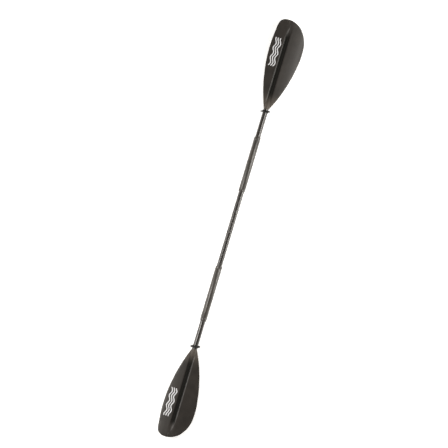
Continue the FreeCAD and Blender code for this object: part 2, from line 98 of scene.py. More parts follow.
def pickEdges(test):
    bpy.ops.mesh.select_mode(type="EDGE")
    bpy.ops.mesh.select_all(action="DESELECT")
    mesh = bpy.context.edit_object.data
    shape = bmesh.from_edit_mesh(mesh)
    for edge in shape.edges:
        edge.select_set(test(edge.verts[0].co, edge.verts[1].co))
    bmesh.update_edit_mesh(mesh)


def pickPoints(test):
    bpy.ops.mesh.select_mode(type="VERT")
    bpy.ops.mesh.select_all(action="DESELECT")
    mesh = bpy.context.edit_object.data
    shape = bmesh.from_edit_mesh(mesh)
    for point in shape.verts:
        point.select_set(test(point.co))
    bmesh.update_edit_mesh(mesh)


def tidyShell(gap=0.01 * mm):
    bpy.ops.mesh.select_all(action="SELECT")
    bpy.ops.mesh.remove_doubles(threshold=gap)
    bpy.ops.mesh.normals_make_consistent(inside=False)


def finishShape(piece, smoothAngle=35):
    makeActive(piece)
    bpy.ops.object.transform_apply(location=True, rotation=True, scale=True)
    bpy.ops.object.shade_smooth_by_angle(angle=math.radians(smoothAngle))


def copyPiece(piece, name):
    twin = piece.copy()
    twin.data = piece.data.copy()
    twin.name = name
    twin.data.name = name
    bpy.context.scene.collection.objects.link(twin)
    return twin


def mirrorAlongShaft(piece, name):
    twin = copyPiece(piece, name)
    makeActive(twin)
    twin.scale.x = -1
    bpy.ops.object.transform_apply(location=False, rotation=False, scale=True)
    bpy.ops.object.mode_set(mode="EDIT")
    tidyShell()
    cleanSlate()
    return twin


# camera and light

viewSizes = {
    "aimAt": (0.0150, 0.0380, 0.0),
    "distance": 10.0,
    "lens": 158.45,
    "turn": -73.37,  # degrees, so the paddle leans a little to the right of upright
}

bpy.ops.object.camera_add(location=Vector(viewSizes["aimAt"]) + Vector((0, 0, viewSizes["distance"])))
camera = bpy.context.object
camera.name = "studioCamera"
camera.rotation_euler = (0, 0, math.radians(viewSizes["turn"]))
camera.data.lens = viewSizes["lens"]
camera.data.sensor_width = 36
camera.data.clip_end = 60
bpy.context.scene.camera = camera

# soft boxes stand low at both sides, because one overhead would grey the dark faces that look up
softBoxes = [
    {"name": "rightSoftBox", "at": (0.95, -1.20, 1.80), "aim": (0.80, 0, 0), "size": (0.9, 0.5), "power": 28},
    {"name": "rightStrip", "at": (0.29, -2.10, 1.20), "aim": (0.29, 0, 0), "size": (0.84, 0.22), "power": 29},
    {"name": "leftSoftBox", "at": (-0.72, 1.20, 1.75), "aim": (-0.85, 0, 0), "size": (0.9, 0.45), "power": 33},
    {"name": "leftStrip", "at": (-0.22, 2.05, 1.35), "aim": (-0.22, 0, 0), "size": (0.8, 0.22), "power": 12},
]
for box in softBoxes:
    bpy.ops.object.light_add(type="AREA", location=box["at"])
    lamp = bpy.context.object
    lamp.name = box["name"]
    lamp.data.shape = "RECTANGLE"
    lamp.data.size, lamp.data.size_y = box["size"]
    lamp.data.energy = box["power"]
    lamp.data.color = (1, 0.965, 0.92)
    facing = Vector(box["aim"]) - Vector(box["at"])
    lamp.rotation_euler = facing.to_track_quat("-Z", "Y").to_euler()
bpy.context.scene.view_settings.view_transform = "Standard"


# colours and nodes

def linearColour(code):
    shares = [int(code[start:start + 2], 16) / 255 for start in (1, 3, 5)]
    linear = [share / 12.92 if share <= 0.04045 else ((share + 0.055) / 1.055) ** 2.4 for share in shares]
    return (*linear, 1)


def addNode(tree, kind, inputs=None, **settings):
    node = tree.nodes.new(kind)
    for name, value in settings.items():
        setattr(node, name, value)
    for socket, value in (inputs or {}).items():
        if isinstance(value, bpy.types.NodeSocket):
            tree.links.new(value, node.inputs[socket])
        else:
            node.inputs[socket].default_value = value
    return node


# the studio's walls are bright and its ceiling is dark
wallSizes = {"ceiling": "#303030", "wall": "#f5f1ea", "strength": 2.0}
world = bpy.data.worlds.new("paleStudio")
world.use_nodes = True
sky = world.node_tree
direction = addNode(sky, "ShaderNodeTexCoord").outputs["Generated"]
heights = addNode(sky, "ShaderNodeSeparateXYZ", {"Vector": direction})
climb = addNode(sky, "ShaderNodeMapRange", {
    "Value": heights.outputs["Z"], "From Min": 0.08, "From Max": 0.72,
}, interpolation_type="SMOOTHSTEP")
walls = addNode(sky, "ShaderNodeMix", {
    "Factor": climb.outputs[0], "A": linearColour(wallSizes["wall"]), "B": linearColour(wallSizes["ceiling"]),
}, data_type="RGBA")
sky.links.new(walls.outputs["Result"], sky.nodes["Background"].inputs["Color"])
sky.nodes["Background"].inputs["Strength"].default_value = wallSizes["strength"]
bpy.context.scene.world = world
print("camera and light are up")


# materials

def startMaterial(name, roughness, ior=1.5, metallic=0.0):
    material = bpy.data.materials.new(name)
    material.use_nodes = True
    shader = material.node_tree.nodes["Principled BSDF"]
    shader.inputs["Roughness"].default_value = roughness
    shader.inputs["IOR"].default_value = ior
    shader.inputs["Metallic"].default_value = metallic
    return material, material.node_tree, shader


# glass-filled nylon, injection moulded: a dark satin skin, faintly mottled, scuffed pale at the tip, with painted shade
# in the channel and a painted highlight on the neck
nylonLook = {
    "dark": "#1b1713",
    "light": "#221d18",
    # painted shade: the darker colour given to the channel's recess
    "channel": "#100f0c",
    "scuff": "#6d6a64",
    # painted highlight: the paler colour painted on the neck
    "paintedNeckHighlight": "#57514b",
    "mottle": 38 * mm,
    "grain": 1.6 * mm,  # the mould's texture is about 0.3 mm, drawn coarser so it shows
    "printInk": "#cccdd0",
    "printStart": 852 * mm,
    "printEnd": 998 * mm,
    "printMiddle": 39.5 * mm,
    "waveLength": 49 * mm,
    "waveHeight": 4.2 * mm,
    "lineWidth": 5.0 * mm,
    "lineSpacing": 11.6 * mm,
}


def mouldedNylon(name, printed):
    look = nylonLook
    material, tree, shader = startMaterial(name, 0.42, 1.53)
    coordinates = addNode(tree, "ShaderNodeTexCoord")
    place = coordinates.outputs["Object"]
    slopes = addNode(tree, "ShaderNodeSeparateXYZ", {"Vector": coordinates.outputs["Normal"]})
    front = addNode(tree, "ShaderNodeMath", {0: slopes.outputs["Z"], 1: 0.0}, operation="GREATER_THAN")
    mottle = addNode(tree, "ShaderNodeTexNoise", {"Vector": place, "Scale": 1 / look["mottle"], "Detail": 4.0})
    base = addNode(tree, "ShaderNodeValToRGB", {"Fac": mottle.outputs["Fac"]})
    base.color_ramp.elements[0].position = 0.3
    base.color_ramp.elements[0].color = linearColour(look["dark"])
    base.color_ramp.elements[1].position = 0.72
    base.color_ramp.elements[1].color = linearColour(look["light"])
    grain = addNode(tree, "ShaderNodeTexNoise", {"Vector": place, "Scale": 1 / look["grain"], "Detail": 3.0})
    axes = addNode(tree, "ShaderNodeSeparateXYZ", {"Vector": place})
    along = addNode(tree, "ShaderNodeMath", {0: axes.outputs["X"]}, operation="ABSOLUTE")
    aside = addNode(tree, "ShaderNodeMath", {0: axes.outputs["Y"]}, operation="ABSOLUTE")

    # the channel has a duller finish, and its colour is darkened as painted shade in the recess
    inChannel = addNode(tree, "ShaderNodeMapRange", {
        "Value": aside.outputs[0], "From Min": 10.2 * mm, "From Max": 12.0 * mm, "To Min": 1.0, "To Max": 0.0,
    }, interpolation_type="SMOOTHSTEP")
    channelEnd = addNode(tree, "ShaderNodeMapRange", {
        "Value": along.outputs[0], "From Min": 1010 * mm, "From Max": 1050 * mm, "To Min": 1.0, "To Max": 0.0,
    }, interpolation_type="SMOOTHSTEP")
    pressedIn = addNode(tree, "ShaderNodeMath", {0: inChannel.outputs[0], 1: channelEnd.outputs[0]}, operation="MULTIPLY")
    channelDullAndShade = addNode(tree, "ShaderNodeMath", {0: pressedIn.outputs[0], 1: front.outputs[0]}, operation="MULTIPLY")
    # painted shade: the channel's recess is mixed towards a darker colour
    channelShaded = addNode(tree, "ShaderNodeMix", {
        "Factor": channelDullAndShade.outputs[0], "A": base.outputs["Color"], "B": linearColour(look["channel"]),
    }, data_type="RGBA")

    # fine scratches that run across the tip, where it meets the river bed
    scratchPlace = addNode(tree, "ShaderNodeMapping", {"Vector": place, "Scale": (60, 520, 60), "Rotation": (0, 0, 0.5)})
    scratch = addNode(tree, "ShaderNodeTexNoise", {"Vector": scratchPlace.outputs["Vector"], "Scale": 1.0, "Detail": 5.0})
    nearTip = addNode(tree, "ShaderNodeMapRange", {
        "Value": along.outputs[0], "From Min": bladeHigh.x - 40 * mm, "From Max": bladeHigh.x,
        "To Min": 0.0, "To Max": 0.55,
    }, interpolation_type="SMOOTHSTEP")
    scuffed = addNode(tree, "ShaderNodeMapRange", {"Value": scratch.outputs["Fac"], "From Min": 0.56, "From Max": 0.74})
    wear = addNode(tree, "ShaderNodeMath", {0: nearTip.outputs[0], 1: scuffed.outputs[0]}, operation="MULTIPLY")
    worn = addNode(tree, "ShaderNodeMix", {
        "Factor": wear.outputs[0], "A": channelShaded.outputs["Result"], "B": linearColour(look["scuff"]),
    }, data_type="RGBA")
    # painted highlight: the neck's colour is painted paler, and it is also made shinier
    atNeck = addNode(tree, "ShaderNodeMapRange", {
        "Value": along.outputs[0], "From Min": 640 * mm, "From Max": 724 * mm, "To Min": 1.0, "To Max": 0.0,
    }, interpolation_type="SMOOTHSTEP")
    neckHighlightMottle = addNode(tree, "ShaderNodeMapRange", {"Value": mottle.outputs["Fac"], "To Min": 0.6, "To Max": 1.0})
    paintedNeckHighlight = addNode(tree, "ShaderNodeMath", {0: atNeck.outputs[0], 1: neckHighlightMottle.outputs[0]}, operation="MULTIPLY")
    neckHighlighted = addNode(tree, "ShaderNodeMix", {
        "Factor": paintedNeckHighlight.outputs[0], "A": worn.outputs["Result"], "B": linearColour(look["paintedNeckHighlight"]),
    }, data_type="RGBA")
    skin = neckHighlighted.outputs["Result"]

    rough = addNode(tree, "ShaderNodeMapRange", {
        "Value": mottle.outputs["Fac"], "From Min": 0.3, "From Max": 0.7, "To Min": 0.41, "To Max": 0.46,
    })
    roughChannel = addNode(tree, "ShaderNodeMath", {0: channelDullAndShade.outputs[0], 1: 0.1, 2: rough.outputs[0]}, operation="MULTIPLY_ADD")
    roughWorn = addNode(tree, "ShaderNodeMath", {0: wear.outputs[0], 1: 0.3, 2: roughChannel.outputs[0]}, operation="MULTIPLY_ADD")
    roughNeck = addNode(tree, "ShaderNodeMath", {0: atNeck.outputs[0], 1: -0.14, 2: roughWorn.outputs[0]}, operation="MULTIPLY_ADD")
    bump = addNode(tree, "ShaderNodeBump", {"Height": grain.outputs["Fac"], "Strength": 0.16, "Distance": 0.12 * mm})
    sheen = addNode(tree, "ShaderNodeMapRange", {"Value": channelDullAndShade.outputs[0], "To Min": 0.5, "To Max": 0.12})
    tree.links.new(sheen.outputs[0], shader.inputs["Specular IOR Level"])

    if printed:
        # three pale wave lines, screen printed on the long-edge half
        inside = addNode(tree, "ShaderNodeMath", {
            0: along.outputs[0],
            1: (look["printStart"] + look["printEnd"]) / 2,
            2: (look["printEnd"] - look["printStart"]) / 2,
        }, operation="COMPARE")
        phase = addNode(tree, "ShaderNodeMath", {0: along.outputs[0], 1: 2 * math.pi / look["waveLength"]}, operation="MULTIPLY")
        swing = addNode(tree, "ShaderNodeMath", {0: phase.outputs[0]}, operation="SINE")
        lift = addNode(tree, "ShaderNodeMath", {0: swing.outputs[0], 1: look["waveHeight"]}, operation="MULTIPLY")
        across = addNode(tree, "ShaderNodeMath", {0: axes.outputs["Y"], 1: lift.outputs[0]}, operation="SUBTRACT")
        offset = addNode(tree, "ShaderNodeMath", {
            0: across.outputs[0], 1: look["printMiddle"],
        }, operation="SUBTRACT")
        repeat = addNode(tree, "ShaderNodeMath", {0: offset.outputs[0], 1: look["lineSpacing"] / 2}, operation="PINGPONG")
        onLine = addNode(tree, "ShaderNodeMath", {
            0: repeat.outputs[0], 1: look["lineWidth"] / 2,
        }, operation="LESS_THAN")
        band = addNode(tree, "ShaderNodeMath", {
            0: across.outputs[0], 1: look["printMiddle"], 2: look["lineSpacing"] * 1.5,
        }, operation="COMPARE")
        mark = addNode(tree, "ShaderNodeMath", {0: inside.outputs[0], 1: onLine.outputs[0]}, operation="MULTIPLY")
        mark = addNode(tree, "ShaderNodeMath", {0: mark.outputs[0], 1: band.outputs[0]}, operation="MULTIPLY")
        mark = addNode(tree, "ShaderNodeMath", {0: mark.outputs[0], 1: front.outputs[0]}, operation="MULTIPLY")
        ink = addNode(tree, "ShaderNodeMapRange", {
            "Value": grain.outputs["Fac"], "From Min": 0.3, "From Max": 0.42, "To Min": 0.7, "To Max": 1.0,
        })
        mark = addNode(tree, "ShaderNodeMath", {0: mark.outputs[0], 1: ink.outputs[0]}, operation="MULTIPLY")
        painted = addNode(tree, "ShaderNodeMix", {
            "Factor": mark.outputs[0], "A": skin, "B": linearColour(look["printInk"]),
        }, data_type="RGBA")
        skin = painted.outputs["Result"]
    tree.links.new(skin, shader.inputs["Base Color"])
    tree.links.new(roughNeck.outputs[0], shader.inputs["Roughness"])
    tree.links.new(bump.outputs["Normal"], shader.inputs["Normal"])
    return material


# filament-wound glass fibre in dark resin: crossing bands of tow under a thin clear skin; one winding direction is
# painted paler than the other as painted sheen
woundLook = {
    "resin": "#1a1816",
    "turns": 16,  # an even number of bands round the tube, real tow is about half as wide and wouldn't show
    "bandPitch": 5.3 * mm,
}


def woundFibre(name, tow, crossTowSheen, coatWeight):
    look = woundLook
    material, tree, shader = startMaterial(name, 0.4, 1.54)
    place = addNode(tree, "ShaderNodeTexCoord").outputs["Object"]
    axes = addNode(tree, "ShaderNodeSeparateXYZ", {"Vector": place})
    around = addNode(tree, "ShaderNodeMath", {0: axes.outputs["Y"], 1: axes.outputs["Z"]}, operation="ARCTAN2")
    turns = addNode(tree, "ShaderNodeMath", {0: around.outputs[0], 1: look["turns"] / (2 * math.pi)}, operation="MULTIPLY")
    steps = addNode(tree, "ShaderNodeMath", {0: axes.outputs["X"], 1: 1 / look["bandPitch"]}, operation="MULTIPLY")
    winding = addNode(tree, "ShaderNodeMath", {0: steps.outputs[0], 1: turns.outputs[0]}, operation="ADD")
    crossing = addNode(tree, "ShaderNodeMath", {0: steps.outputs[0], 1: turns.outputs[0]}, operation="SUBTRACT")
    halfWinding = addNode(tree, "ShaderNodeMath", {0: winding.outputs[0], 1: 1.0}, operation="PINGPONG")
    halfCrossing = addNode(tree, "ShaderNodeMath", {0: crossing.outputs[0], 1: 1.0}, operation="PINGPONG")
    overWinding = addNode(tree, "ShaderNodeMath", {0: halfWinding.outputs[0], 1: 0.5}, operation="SUBTRACT")
    overCrossing = addNode(tree, "ShaderNodeMath", {0: halfCrossing.outputs[0], 1: 0.5}, operation="SUBTRACT")
    weave = addNode(tree, "ShaderNodeMath", {0: overWinding.outputs[0], 1: overCrossing.outputs[0]}, operation="MULTIPLY")
    onTop = addNode(tree, "ShaderNodeMapRange", {"Value": weave.outputs[0], "From Min": -0.01, "From Max": 0.01})
    # resin shows where two bands meet
    edge = addNode(tree, "ShaderNodeMath", {0: weave.outputs[0]}, operation="ABSOLUTE")
    seam = addNode(tree, "ShaderNodeMapRange", {"Value": edge.outputs[0], "From Min": 0.0, "From Max": 0.03})
    streakPlace = addNode(tree, "ShaderNodeMapping", {"Vector": place, "Scale": (90, 700, 700)})
    streak = addNode(tree, "ShaderNodeTexNoise", {"Vector": streakPlace.outputs["Vector"], "Scale": 1.0, "Detail": 3.0})
    # painted sheen: the two winding directions of the same tow get a darker and a paler shade
    bandsWithSheen = addNode(tree, "ShaderNodeMix", {
        "Factor": onTop.outputs[0], "A": linearColour(tow), "B": linearColour(crossTowSheen),
    }, data_type="RGBA")
    streaked = addNode(tree, "ShaderNodeMix", {
        "Factor": streak.outputs["Fac"], "A": linearColour(look["resin"]), "B": bandsWithSheen.outputs["Result"],
    }, data_type="RGBA")
    soaked = addNode(tree, "ShaderNodeMix", {
        "Factor": seam.outputs[0], "A": linearColour(look["resin"]), "B": streaked.outputs["Result"],
    }, data_type="RGBA")
    bump = addNode(tree, "ShaderNodeBump", {"Height": seam.outputs[0], "Strength": 0.2, "Distance": 0.05 * mm})
    rough = addNode(tree, "ShaderNodeMapRange", {"Value": streak.outputs["Fac"], "To Min": 0.22, "To Max": 0.32})
    tree.links.new(soaked.outputs["Result"], shader.inputs["Base Color"])
    tree.links.new(rough.outputs[0], shader.inputs["Roughness"])
    tree.links.new(bump.outputs["Normal"], shader.inputs["Normal"])
    shader.inputs["Coat Weight"].default_value = coatWeight
    shader.inputs["Coat Roughness"].default_value = 0.18
    return material


# shrunk-on rubber sleeve: satin, finely pebbled, a little paler where hands have polished it
gripLook = {
    "base": "#312e2b",
    "polished": "#3f3b37",
    "pebble": 1.7 * mm,  # real pebbles are about 0.8 mm
    "cloud": 45 * mm,
}


def gripRubber(name):
    look = gripLook
    material, tree, shader = startMaterial(name, 0.48, 1.52)
    place = addNode(tree, "ShaderNodeTexCoord").outputs["Object"]
    cloud = addNode(tree, "ShaderNodeTexNoise", {"Vector": place, "Scale": 1 / look["cloud"], "Detail": 3.0})
    cells = addNode(tree, "ShaderNodeTexVoronoi", {"Vector": place, "Scale": 1 / look["pebble"]})
    shade = addNode(tree, "ShaderNodeMapRange", {"Value": cloud.outputs["Fac"], "From Min": 0.35, "From Max": 0.68})
    colour = addNode(tree, "ShaderNodeMix", {
        "Factor": shade.outputs[0], "A": linearColour(look["base"]), "B": linearColour(look["polished"]),
    }, data_type="RGBA")
    rough = addNode(tree, "ShaderNodeMapRange", {"Value": cloud.outputs["Fac"], "To Min": 0.4, "To Max": 0.24})
    bump = addNode(tree, "ShaderNodeBump", {"Height": cells.outputs["Distance"], "Strength": 0.2, "Distance": 0.12 * mm})
    tree.links.new(colour.outputs["Result"], shader.inputs["Base Color"])
    tree.links.new(rough.outputs[0], shader.inputs["Roughness"])
    tree.links.new(bump.outputs["Normal"], shader.inputs["Normal"])
    return material


# plain moulded rubber or plastic with a matte skin: the drip rings, the plug and the seam ring
def mattePolymer(name, base, pale, roughness, grainSize, ior=1.52, sheen=0.5):
    material, tree, shader = startMaterial(name, roughness, ior)
    shader.inputs["Specular IOR Level"].default_value = sheen
    place = addNode(tree, "ShaderNodeTexCoord").outputs["Object"]
    dust = addNode(tree, "ShaderNodeTexNoise", {"Vector": place, "Scale": 1 / (12 * mm), "Detail": 5.0, "Roughness": 0.65})
    grain = addNode(tree, "ShaderNodeTexNoise", {"Vector": place, "Scale": 1 / grainSize, "Detail": 2.0})
    shade = addNode(tree, "ShaderNodeMapRange", {"Value": dust.outputs["Fac"], "From Min": 0.38, "From Max": 0.75})
    colour = addNode(tree, "ShaderNodeMix", {
        "Factor": shade.outputs[0], "A": linearColour(base), "B": linearColour(pale),
    }, data_type="RGBA")
    rough = addNode(tree, "ShaderNodeMapRange", {
        "Value": dust.outputs["Fac"], "To Min": roughness - 0.08, "To Max": roughness + 0.08,
    })
    bump = addNode(tree, "ShaderNodeBump", {"Height": grain.outputs["Fac"], "Strength": 0.2, "Distance": 0.1 * mm})
    tree.links.new(colour.outputs["Result"], shader.inputs["Base Color"])
    tree.links.new(rough.outputs[0], shader.inputs["Roughness"])
    tree.links.new(bump.outputs["Normal"], shader.inputs["Normal"])
    return material


# stainless steel, tumbled and brushed: bright, soft highlights drawn along the grain
def brushedSteel(name, grainScale):
    material, tree, shader = startMaterial(name, 0.3, metallic=1.0)
    place = addNode(tree, "ShaderNodeTexCoord").outputs["Object"]
    drawn = addNode(tree, "ShaderNodeMapping", {"Vector": place, "Scale": grainScale})
    lines = addNode(tree, "ShaderNodeTexNoise", {"Vector": drawn.outputs["Vector"], "Scale": 1.0, "Detail": 4.0})
    colour = addNode(tree, "ShaderNodeMix", {
        "Factor": lines.outputs["Fac"], "A": linearColour("#7d7c79"), "B": linearColour("#a9a7a3"),
    }, data_type="RGBA")
    rough = addNode(tree, "ShaderNodeMapRange", {"Value": lines.outputs["Fac"], "To Min": 0.34, "To Max": 0.5})
    bump = addNode(tree, "ShaderNodeBump", {"Height": lines.outputs["Fac"], "Strength": 0.12, "Distance": 0.03 * mm})
    tree.links.new(colour.outputs["Result"], shader.inputs["Base Color"])
    tree.links.new(rough.outputs[0], shader.inputs["Roughness"])
    tree.links.new(bump.outputs["Normal"], shader.inputs["Normal"])
    return material


# closed-cell polyethylene foam: chalky off-white with small cells cut open on the faces, painted darker in the open
# cells as painted shade
def closedCellFoam(name):
    material, tree, shader = startMaterial(name, 0.8, 1.5)
    place = addNode(tree, "ShaderNodeTexCoord").outputs["Object"]
    cells = addNode(tree, "ShaderNodeTexVoronoi", {"Vector": place, "Scale": 1 / (1.4 * mm)})
    cloud = addNode(tree, "ShaderNodeTexNoise", {"Vector": place, "Scale": 1 / (6 * mm), "Detail": 3.0})
    # painted shade: the open cells are painted darker
    poreShade = addNode(tree, "ShaderNodeMapRange", {"Value": cells.outputs["Distance"], "From Min": 0.1, "From Max": 0.6})
    colour = addNode(tree, "ShaderNodeMix", {
        "Factor": poreShade.outputs[0], "A": linearColour("#c3bfb3"), "B": linearColour("#e6e3da"),
    }, data_type="RGBA")
    rough = addNode(tree, "ShaderNodeMapRange", {"Value": cloud.outputs["Fac"], "To Min": 0.72, "To Max": 0.9})
    bump = addNode(tree, "ShaderNodeBump", {"Height": cells.outputs["Distance"], "Strength": 0.5, "Distance": 0.3 * mm})
    tree.links.new(colour.outputs["Result"], shader.inputs["Base Color"])
    tree.links.new(rough.outputs[0], shader.inputs["Roughness"])
    tree.links.new(bump.outputs["Normal"], shader.inputs["Normal"])
    return material


bladeNylon = mouldedNylon("glassFilledNylon", True)
# the second shade of each fibre is the painted sheen of the crossing bands
shaftFibre = woundFibre("woundGlassFibre", "#282521", "#383430", 0.2)
ferruleFibre = woundFibre("groundGlassFibre", "#2c2a28", "#3a3835", 0.0)
sleeveRubber = gripRubber("shrinkSleeveRubber")
ringRubber = mattePolymer("siliconeRubber", "#100f0e", "#1b1a18", 0.5, 0.9 * mm, 1.43, 0.3)
plugPlastic = mattePolymer("polyethylenePlug", "#181716", "#262523", 0.55, 0.8 * mm)
seamPlastic = mattePolymer("acetalRing", "#65625e", "#77746f", 0.46, 0.7 * mm, 1.48)
buttonSteel = brushedSteel("turnedStainless", (900, 900, 120))
springSteel = brushedSteel("rolledSpringSteel", (60, 1400, 1400))
stopperFoam = closedCellFoam("closedCellPolyethylene")
print("materials are mixed")


# blades

bladeSizes = {
    # share of the blade's length, and of the distance to the long edge (+) or the curved edge (-)
    "outline": [
        (0.14, 0.48), (0.35, 0.81), (0.62, 1.00), (0.87, 0.92), (0.94, 0.85), (0.978, 0.70), (1.00, 0.26),
        (0.97, -0.35), (0.91, -0.67), (0.81, -0.92), (0.68, -1.00), (0.53, -0.94), (0.35, -0.77), (0.14, -0.445),
    ],
    "spineThickness": 5 * mm,
    "edgeThickness": 2.6 * mm,
    "rimRound": 2.2 * mm,
    "spoonRise": 24 * mm,
    "edgeFall": 7.5 * mm,
    "fallCurve": 2.0,
    "rowSpacing": 11.65 * mm,
    "acrossLines": [16, 23, 32, 42, 54, 66, 78, 90],
    # the channel's section: distance from the middle, and height over the blade's face
    "channelSection": [(0, 0.8), (1.0, 0.8), (2.4, -1.6), (5.5, -1.8), (9.2, -1.7), (11.6, 0)],
    "scoopSection": [(0, -2.0), (1.0, -1.98), (2.4, -1.9), (5.5, -1.5), (9.2, -0.7), (11.6, 0)],  # its rounded end
    "channelStart": 31 * mm,
    "channelShoulder": 374 * mm,
    "channelPoint": 428 * mm,
}


def makeBladeSheet():
    sizes = bladeSizes
    bladeLength = bladeHigh.x - tubeEnd
    rootHalf = slimRadius

    # the outline is drawn as a curve and filled
    cleanSlate()
    bpy.ops.curve.primitive_bezier_curve_add()
    outline = bpy.context.object
    outline.data.dimensions = "2D"
    outline.data.fill_mode = "NONE"
    spline = outline.data.splines[0]
    places = [(tubeEnd, rootHalf)]
    for share, across in sizes["outline"]:
        reach = bladeHigh.y if across > 0 else -bladeLow.y
        places.append((tubeEnd + share * bladeLength, across * reach))
    places.append((tubeEnd, -rootHalf))
    spline.bezier_points.add(len(places) - 2)
    for point, (x, y) in zip(spline.bezier_points, places):
        point.co = (x, y, 0)
        point.handle_left_type = "AUTO"
        point.handle_right_type = "AUTO"
    spline.bezier_points[0].handle_left_type = "VECTOR"
    spline.bezier_points[0].handle_right_type = "VECTOR"
    spline.bezier_points[-1].handle_left_type = "VECTOR"
    spline.bezier_points[-1].handle_right_type = "VECTOR"
    spline.use_cyclic_u = True
    spline.resolution_u = 9
    bpy.ops.object.convert(target="MESH")
    sheet = bpy.context.object
    startEdit(sheet, "bladeSheet")
    bpy.ops.mesh.select_all(action="SELECT")
    bpy.ops.mesh.remove_doubles(threshold=0.2 * mm)
    bpy.ops.mesh.edge_face_add()
    thick = sizes["spineThickness"]
    bpy.ops.mesh.extrude_region_move(TRANSFORM_OT_translate={"value": (0, 0, thick)})
    bpy.ops.mesh.select_all(action="SELECT")
    bpy.ops.transform.translate(value=(0, 0, -thick / 2))
    bpy.ops.mesh.normals_make_consistent(inside=False)

    # a round rim all the way round
    pickEdges(lambda a, b: abs(a.z - b.z) < 0.01 * mm and not (a.x < tubeEnd + 1e-5 and b.x < tubeEnd + 1e-5))
    bpy.ops.mesh.bevel(offset=sizes["rimRound"], segments=4, affect="EDGES", clamp_overlap=True)

    # cross cuts and long cuts, closest together along the rib
    rows = round(bladeLength / sizes["rowSpacing"])
    for row in range(1, rows):
        bpy.ops.mesh.select_all(action="SELECT")
        bpy.ops.mesh.bisect(plane_co=(tubeEnd + row * bladeLength / rows, 0, 0), plane_no=(1, 0, 0))
    channelLines = [across for across, height in sizes["channelSection"]]
    for across in channelLines + sizes["acrossLines"]:
        for hand in ((1, -1) if across else (1,)):
            bpy.ops.mesh.select_all(action="SELECT")
            bpy.ops.mesh.bisect(plane_co=(0, hand * across * mm, 0), plane_no=(0, 1, 0))

    # the channel and its ridge are pressed into the face one long line at a time, up to the pointed end
    start = tubeEnd + sizes["channelStart"]
    shoulder = tubeEnd + sizes["channelShoulder"]
    point = tubeEnd + sizes["channelPoint"]
    face = thick / 2
    for section, low, high in ((sizes["channelSection"], start, shoulder), (sizes["scoopSection"], shoulder, point)):
        for across, height in section:
            pickPoints(lambda c: c.z > face * 0.95 and low < c.x <= high and abs(abs(c.y) - across * mm) < 0.05 * mm)
            bpy.ops.transform.translate(value=(0, 0, height * mm))
    rowLength = bladeLength / rows
    widest = channelLines[-1] * mm
    for row in range(rows):
        x = tubeEnd + row * rowLength
        if x < shoulder or x > point + rowLength:
            continue
        share = min(max((x - shoulder) / (point - shoulder), 0), 1)
        narrow = max(1 - share**3.5, 0.04)
        shallow = max(1 - share**4, 0.0)
        pickPoints(lambda c: abs(c.x - x) < 0.1 * mm and abs(c.y) < widest + 0.1 * mm and c.z > 0)
        bpy.ops.transform.resize(value=(1, narrow, shallow), center_override=(x, 0, face))
    tidyShell()

    # the flat blade is spooned with a lattice, which also thins it towards its edges
    cleanSlate()
    long, wide, deep = bladeLength, 2 * -bladeLow.y, 30 * mm
    bpy.ops.object.add(type="LATTICE", location=(tubeEnd + long / 2, 0, 0))
    cage = bpy.context.object
    cage.scale = (long, wide, deep)
    cage.data.points_u = 9
    cage.data.points_v = 9
    cage.data.points_w = 2
    cage.data.interpolation_type_u = "KEY_CARDINAL"
    cage.data.interpolation_type_v = "KEY_CARDINAL"
    cage.data.interpolation_type_w = "KEY_LINEAR"
    for knot in cage.data.points:
        share = knot.co.x + 0.5
        aside = abs(knot.co.y) * 2
        slim = 1 - (1 - sizes["edgeThickness"] / sizes["spineThickness"]) * aside
        rise = sizes["spoonRise"] * share**2 - sizes["edgeFall"] * aside ** sizes["fallCurve"]
        knot.co_deform.z = knot.co.z * slim + rise / deep
    makeActive(sheet)
    spoon = sheet.modifiers.new("spoon", "LATTICE")
    spoon.object = cage
    bpy.ops.object.modifier_apply(modifier="spoon")
    bpy.data.objects.remove(cage)
    return sheet


neckSizes = {
    "rings": [  # from the tube's end: along, half width, half height
        (7, 13.3, 13.2), (16, 13.4, 12.5), (25, 13.3, 11.0), (34, 12.6, 9.2), (43, 11.0, 7.4),
        (51, 8.6, 6.0), (58, 5.6, 4.9), (63, 2.8, 4.1), (66, 0.8, 3.4),
    ],
    "sides": 64,
    "spigotLength": 60 * mm,
    "spigotRadius": 11.95 * mm,
    "spigotWall": 3 * mm,
    "rootLip": 0.35 * mm,
}


